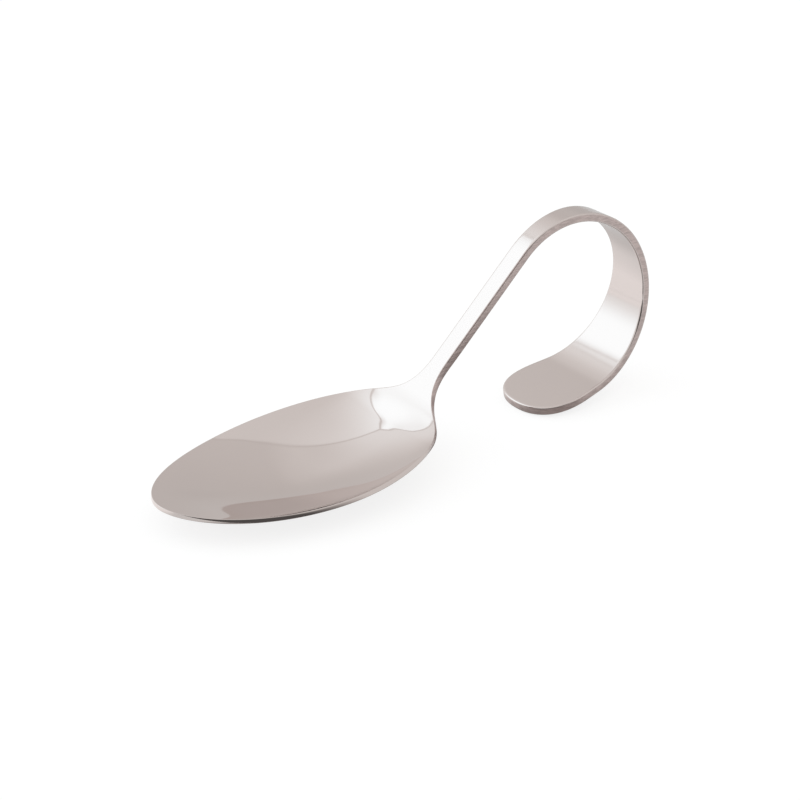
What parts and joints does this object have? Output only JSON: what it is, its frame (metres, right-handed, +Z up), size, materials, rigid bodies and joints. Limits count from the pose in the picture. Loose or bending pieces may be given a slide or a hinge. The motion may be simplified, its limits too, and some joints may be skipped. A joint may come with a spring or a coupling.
{
  "type": "amuse-bouche spoon",
  "caption": "Amuse-bouche spoon made from one strip of polished stainless steel, with a shallow oval bowl for a mouthful and a narrow handle curled over into a flared finger loop.",
  "frame": {"origin": "centre of the spoon's box at the level of the table it stands on", "axes": "+X from the bowl's tip towards the finger loop, +Z up from the table, +Y across the bowl"},
  "size_m": [0.1406, 0.0464, 0.0486],
  "materials": {
    "steel": "polished"
  },
  "bodies": {
    "root": {"spoon": "steel"}
  },
  "joints": []
}
